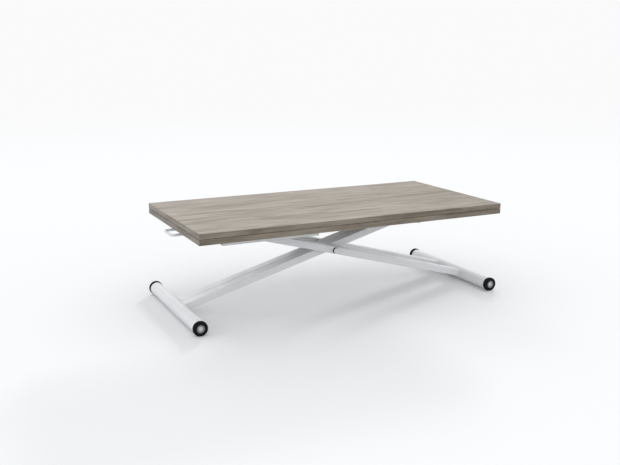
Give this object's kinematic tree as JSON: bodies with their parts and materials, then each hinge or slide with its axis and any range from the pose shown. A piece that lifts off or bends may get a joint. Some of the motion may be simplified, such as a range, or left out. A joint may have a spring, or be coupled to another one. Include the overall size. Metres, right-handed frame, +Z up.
{
  "type": "convertible coffee and dining table",
  "caption": "Low table on wheeled scissor legs that rises to dining height, with a folding wooden top that opens to twice its width and slides to centre itself.",
  "frame": {"origin": "on the floor under the middle of the folded top", "axes": "+X along the length, away from the release handle; +Y towards the edge where the leaves are hinged; +Z up"},
  "size_m": [1.188, 0.575, 0.339],
  "materials": {
    "wood": "taupe oak board with the grain along its length",
    "white_paint": "white powder coat",
    "tyre": "matt black rubber",
    "hub": "mid grey moulded plastic",
    "axle_cap": "pale grey moulded plastic",
    "steel": "bright drawn steel",
    "black_plastic": "black moulded plastic",
    "bush": "dark bearing plastic",
    "gas_black": "black lacquer",
    "zinc": "zinc-plated steel",
    "pad": "soft dark rubber"
  },
  "bodies": {
    "left_axle": {"left_axle": "steel", "left_axle_caps": "axle_cap"},
    "left_front_wheel": {"left_front_tyre": "tyre", "left_front_hub": "hub"},
    "left_back_wheel": {"left_back_tyre": "tyre", "left_back_hub": "hub"},
    "leg_a": {"left_foot_tube": "white_paint", "left_foot_plugs": "black_plastic", "leg_a_front_tube": "white_paint", "leg_a_back_tube": "white_paint", "leg_a_end_plugs": "black_plastic", "pivot_pin": "steel", "pivot_washers": "black_plastic", "pivot_cap": "white_paint", "pivot_nut": "zinc", "hinge_shaft": "steel"},
    "leg_b": {"right_foot_tube": "white_paint", "right_foot_plugs": "black_plastic", "right_axle": "steel", "right_axle_caps": "axle_cap", "leg_b_front_tube": "white_paint", "leg_b_back_tube": "white_paint", "leg_b_end_plugs": "black_plastic", "pivot_bushes": "bush", "slider_bushes": "bush"},
    "right_front_wheel": {"right_front_tyre": "tyre", "right_front_hub": "hub"},
    "right_back_wheel": {"right_back_tyre": "tyre", "right_back_hub": "hub"},
    "slider": {"slider_axle": "steel", "slide_blocks": "bush", "gas_cylinder": "gas_black"},
    "frame": {"front_side_bar": "white_paint", "back_side_bar": "white_paint", "left_end_plate": "white_paint", "middle_plate": "white_paint", "right_end_plate": "white_paint", "front_track": "white_paint", "back_track": "white_paint", "hinge_ears": "white_paint", "hinge_bushes": "bush", "left_fixed_runner": "zinc", "right_fixed_runner": "zinc", "frame_bolts": "zinc", "gas_rod": "steel", "release_head": "gas_black", "handle_bracket": "white_paint"},
    "release_pin": {"release_pin": "steel"},
    "release_handle": {"release_handle": "white_paint", "release_cam_shaft": "zinc"},
    "lower_top": {"lower_leaf": "wood", "left_moving_rail": "zinc", "right_moving_rail": "zinc", "lower_hinge_plates": "zinc", "leaf_hinge_pins": "steel", "lower_leaf_screws": "zinc", "bumper_pads": "pad"},
    "upper_top": {"upper_leaf": "wood", "upper_hinge_plates": "zinc", "upper_leaf_screws": "zinc"}
  },
  "joints": [
    {"name": "lift", "type": "hinge", "parent": "left_axle", "child": "leg_a", "pos_m": [-0.569, 0, 0.025], "axis": [0, -1, 0], "range_deg": [-5.5, 29.6]},
    {"name": "scissor", "type": "hinge", "parent": "leg_a", "child": "leg_b", "pos_m": [0, 0, 0.18119], "axis": [0, -1, 0], "range_deg": [-59.2, 11]},
    {"name": "slider_level", "type": "hinge", "parent": "leg_b", "child": "slider", "pos_m": [-0.32883, 0, 0.27146], "axis": [0, -1, 0], "range_deg": [-5.5, 29.6]},
    {"name": "frame_level", "type": "hinge", "parent": "leg_a", "child": "frame", "pos_m": [0.32883, 0, 0.27146], "axis": [0, -1, 0], "range_deg": [-29.6, 5.5]},
    {"name": "top_slide", "type": "slide", "parent": "frame", "child": "lower_top", "axis": [0, -1, 0], "range_m": [0, 0.2845]},
    {"name": "leaf_fold", "type": "hinge", "parent": "lower_top", "child": "upper_top", "pos_m": [0, 0.2845, 0.32021], "axis": [-1, 0, 0], "range_deg": [0, 180]},
    {"name": "handle_pull", "type": "hinge", "parent": "frame", "child": "release_handle", "pos_m": [-0.503, 0, 0.26246], "axis": [0, 1, 0], "range_deg": [0, 8], "stiffness_Nm_per_rad": 2, "springref_deg": -5.73},
    {"name": "pin_press", "type": "slide", "parent": "frame", "child": "release_pin", "axis": [1, 0, 0], "range_m": [0, 0.0018]},
    {"name": "left_front_spin", "type": "hinge", "parent": "left_axle", "child": "left_front_wheel", "pos_m": [-0.569, 0, 0.025], "axis": [0, 1, 0], "continuous": true},
    {"name": "left_back_spin", "type": "hinge", "parent": "left_axle", "child": "left_back_wheel", "pos_m": [-0.569, 0, 0.025], "axis": [0, 1, 0], "continuous": true},
    {"name": "right_front_spin", "type": "hinge", "parent": "leg_b", "child": "right_front_wheel", "pos_m": [0.569, 0, 0.025], "axis": [0, 1, 0], "continuous": true},
    {"name": "right_back_spin", "type": "hinge", "parent": "leg_b", "child": "right_back_wheel", "pos_m": [0.569, 0, 0.025], "axis": [0, 1, 0], "continuous": true}
  ],
  "couplings": [
    {"joint": "scissor", "follows": "lift", "ratio": -2},
    {"joint": "slider_level", "follows": "lift", "ratio": 1},
    {"joint": "frame_level", "follows": "lift", "ratio": -1},
    {"joint": "pin_press", "follows": "handle_pull", "m_per_rad": 0.0117}
  ]
}
